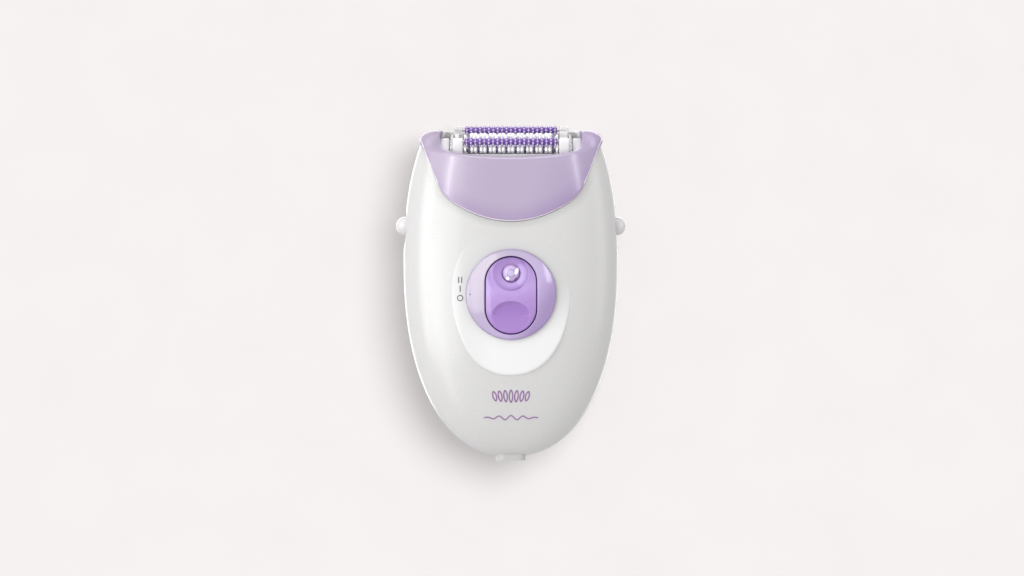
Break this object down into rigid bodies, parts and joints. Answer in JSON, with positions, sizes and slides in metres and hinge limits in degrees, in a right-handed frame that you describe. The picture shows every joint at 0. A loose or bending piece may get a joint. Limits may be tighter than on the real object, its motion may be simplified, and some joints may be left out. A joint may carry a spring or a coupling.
{
  "type": "epilator",
  "caption": "Egg-shaped corded epilator: pearl-white casing, lilac lift-off tweezer head, clip-on spiked massage rollers and a round sliding switch with a light lens.",
  "frame": {"origin": "bottom centre of the overall box, on the open end of the cord socket", "axes": "+Z from the cord socket to the tweezer head; the switch faces -Y and the rest flat on the back faces +Y; +X completes the frame"},
  "size_m": [0.0794, 0.0395, 0.1158],
  "materials": {
    "pearl_white": "pearl gloss moulding",
    "gloss_white": "high gloss",
    "inner_white": "satin moulding",
    "lilac": "satin gloss lilac",
    "knob_lilac": "tinted gloss",
    "purple_tint": "tinted gloss",
    "roller_purple": "satin",
    "clear_plastic": "clear",
    "steel": "ground",
    "brass": "machined",
    "acetal": "natural",
    "board": "solder resist",
    "dark_plastic": "moulded",
    "red_wire": "insulation",
    "black_wire": "insulation",
    "chassis_grey": "glass-filled moulding"
  },
  "bodies": {
    "housing": {"front_shell": "pearl_white", "rear_shell": "pearl_white", "front_inlay": "gloss_white", "chassis": "chassis_grey", "motor_can": "steel", "motor_end_cap": "dark_plastic", "gear_first_pin": "steel", "gear_idler_pin": "steel", "circuit_board": "board", "switch_module": "dark_plastic", "lamp": "clear_plastic", "capacitor": "black_wire", "socket_body": "inner_white", "socket_pin_left": "steel", "socket_pin_right": "steel", "wire_socket_plus": "red_wire", "wire_socket_minus": "black_wire", "wire_motor_plus": "red_wire", "wire_motor_minus": "black_wire", "chassis_screw_1": "steel", "chassis_screw_2": "steel", "chassis_screw_3": "steel", "chassis_screw_4": "steel", "board_screw_1": "steel", "board_screw_2": "steel", "release_spring_left": "steel", "release_spring_right": "steel"},
    "switch": {"switch_knob": "knob_lilac", "switch_insert": "purple_tint", "light_lens": "clear_plastic", "switch_contact": "dark_plastic"},
    "button_left": {"release_button_left": "pearl_white"},
    "button_right": {"release_button_right": "pearl_white"},
    "motor_rotor": {"motor_shaft": "steel", "motor_pinion": "brass"},
    "first_gear": {"gear_first": "acetal"},
    "idler_gear": {"gear_idler": "acetal"},
    "head": {"head_cover_front": "lilac", "head_cover_rear": "pearl_white", "head_frame": "inner_white", "barrel_bush_left": "brass", "barrel_bush_right": "brass", "barrel_cam": "acetal"},
    "tweezer_barrel": {"barrel_core": "roller_purple", "barrel_gear": "acetal", "barrel_axle": "steel"},
    "comb_a": {"tweezer_comb_a": "steel"},
    "comb_b": {"tweezer_comb_b": "steel"},
    "massage_attachment": {"massage_frame": "clear_plastic", "roller_pin_front": "steel", "roller_pin_rear": "steel"},
    "roller_front": {"massage_roller_front": "roller_purple"},
    "roller_rear": {"massage_roller_rear": "roller_purple"}
  },
  "joints": [
    {"name": "switch_slide", "type": "slide", "parent": "housing", "child": "switch", "axis": [0, 0, 1], "range_m": [0, 0.0062]},
    {"name": "button_left_press", "type": "slide", "parent": "housing", "child": "button_left", "axis": [1, 0, 0], "range_m": [0, 0.0015], "deforming": ["release_spring_left"]},
    {"name": "button_right_press", "type": "slide", "parent": "housing", "child": "button_right", "axis": [-1, 0, 0], "range_m": [0, 0.0015], "deforming": ["release_spring_right"]},
    {"name": "head_lift", "type": "slide", "parent": "housing", "child": "head", "axis": [0, 0, 1], "range_m": [0, 0.04]},
    {"name": "barrel_spin", "type": "hinge", "parent": "head", "child": "tweezer_barrel", "pos_m": [0, 0.0005, 0.1073], "axis": [1, 0, 0], "continuous": true},
    {"name": "comb_a_slide", "type": "slide", "parent": "tweezer_barrel", "child": "comb_a", "axis": [1, 0, 0], "range_m": [0, 0.0003]},
    {"name": "comb_b_slide", "type": "slide", "parent": "tweezer_barrel", "child": "comb_b", "axis": [-1, 0, 0], "range_m": [0, 0.0003]},
    {"name": "massage_lift", "type": "slide", "parent": "head", "child": "massage_attachment", "axis": [0, -0.2957, 0.9553], "range_m": [0, 0.016]},
    {"name": "roller_front_spin", "type": "hinge", "parent": "massage_attachment", "child": "roller_front", "pos_m": [0, -0.00796, 0.1096], "axis": [1, 0, 0], "continuous": true},
    {"name": "roller_rear_spin", "type": "hinge", "parent": "massage_attachment", "child": "roller_rear", "pos_m": [0, 0.00618, 0.11398], "axis": [1, 0, 0], "continuous": true},
    {"name": "idler_spin", "type": "hinge", "parent": "housing", "child": "idler_gear", "pos_m": [0, 0.0005, 0.0936], "axis": [1, 0, 0], "continuous": true},
    {"name": "first_gear_spin", "type": "hinge", "parent": "housing", "child": "first_gear", "pos_m": [0, 0.00358, 0.08107], "axis": [1, 0, 0], "continuous": true},
    {"name": "motor_spin", "type": "hinge", "parent": "housing", "child": "motor_rotor", "pos_m": [0, 0.0027, 0.069], "axis": [1, 0, 0], "continuous": true}
  ],
  "couplings": [
    {"joint": "idler_spin", "follows": "barrel_spin", "ratio": -0.7},
    {"joint": "first_gear_spin", "follows": "barrel_spin", "ratio": 1.1667},
    {"joint": "motor_spin", "follows": "barrel_spin", "ratio": -3.5},
    {"joint": "comb_b_slide", "follows": "comb_a_slide", "ratio": 1}
  ]
}
